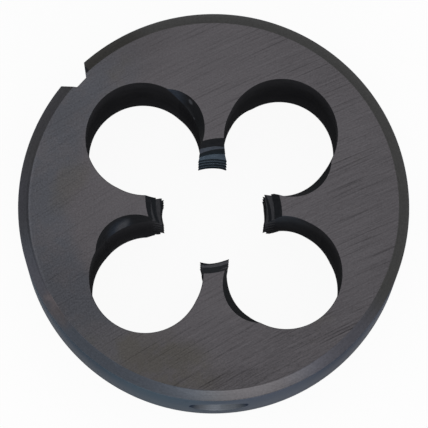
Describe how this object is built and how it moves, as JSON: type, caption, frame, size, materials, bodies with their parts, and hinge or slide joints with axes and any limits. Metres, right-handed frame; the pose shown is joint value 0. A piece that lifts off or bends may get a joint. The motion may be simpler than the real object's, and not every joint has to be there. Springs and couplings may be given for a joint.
{
  "type": "round threading die",
  "caption": "Round closed die that cuts a right-hand outside thread, with relieved lands between open chip holes, a V groove and dimples in its rim.",
  "frame": {"origin": "centre of the die's back face", "axes": "+Z along the bore's axis, out of the starting face; +X out of one land; the V groove is halfway between -X and +Y"},
  "size_m": [0.038, 0.038, 0.014],
  "materials": {
    "oxide_steel": "high-speed steel, ground faces and turned rim, blued to a dark grey oxide"
  },
  "bodies": {
    "root": {"round_die": "oxide_steel"}
  },
  "joints": []
}
